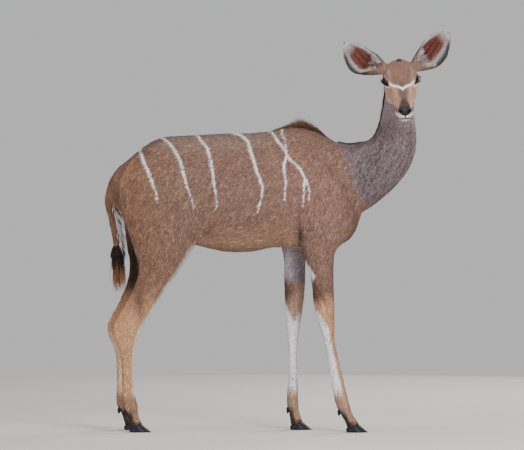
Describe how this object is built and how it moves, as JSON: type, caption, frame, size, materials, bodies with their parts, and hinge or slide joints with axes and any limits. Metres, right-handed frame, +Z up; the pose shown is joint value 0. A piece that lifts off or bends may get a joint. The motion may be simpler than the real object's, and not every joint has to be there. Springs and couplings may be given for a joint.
{
  "type": "greater kudu",
  "caption": "Life-size greater kudu cow standing side on with her head turned to her right, ears spread, on four cloven hooves.",
  "frame": {"origin": "centre of the bounding box in plan, at the level of the soles", "axes": "+X forwards along the body, +Y to the animal's left, +Z up"},
  "size_m": [1.343, 0.5072, 1.5731],
  "materials": {
    "coat": "short hair, warm grey-brown with thin white stripes, greyer on the neck and pale on the lower legs",
    "ear": "short hair, brown behind, rust and white inside with a black lower rim",
    "tail_hair": "long hair, brown above, white below, with a dark tuft",
    "hoof_horn": "black hoof horn with a dull sheen",
    "eye": "wet black-brown eye"
  },
  "bodies": {
    "root": {"ear_left": "ear", "ear_right": "ear", "eye_left": "eye", "eye_right": "eye", "foreleg_left_claw_left": "hoof_horn", "foreleg_left_claw_right": "hoof_horn", "foreleg_left_dewclaw_left": "hoof_horn", "foreleg_left_dewclaw_right": "hoof_horn", "foreleg_left_lower": "coat", "foreleg_left_upper": "coat", "foreleg_right_claw_left": "hoof_horn", "foreleg_right_claw_right": "hoof_horn", "foreleg_right_dewclaw_left": "hoof_horn", "foreleg_right_dewclaw_right": "hoof_horn", "foreleg_right_lower": "coat", "foreleg_right_upper": "coat", "head": "coat", "hindleg_left_claw_left": "hoof_horn", "hindleg_left_claw_right": "hoof_horn", "hindleg_left_dewclaw_left": "hoof_horn", "hindleg_left_dewclaw_right": "hoof_horn", "hindleg_left_lower": "coat", "hindleg_left_upper": "coat", "hindleg_right_claw_left": "hoof_horn", "hindleg_right_claw_right": "hoof_horn", "hindleg_right_dewclaw_left": "hoof_horn", "hindleg_right_dewclaw_right": "hoof_horn", "hindleg_right_lower": "coat", "hindleg_right_upper": "coat", "neck_lower": "coat", "neck_upper": "coat", "tail": "tail_hair", "torso": "coat"}
  },
  "joints": []
}
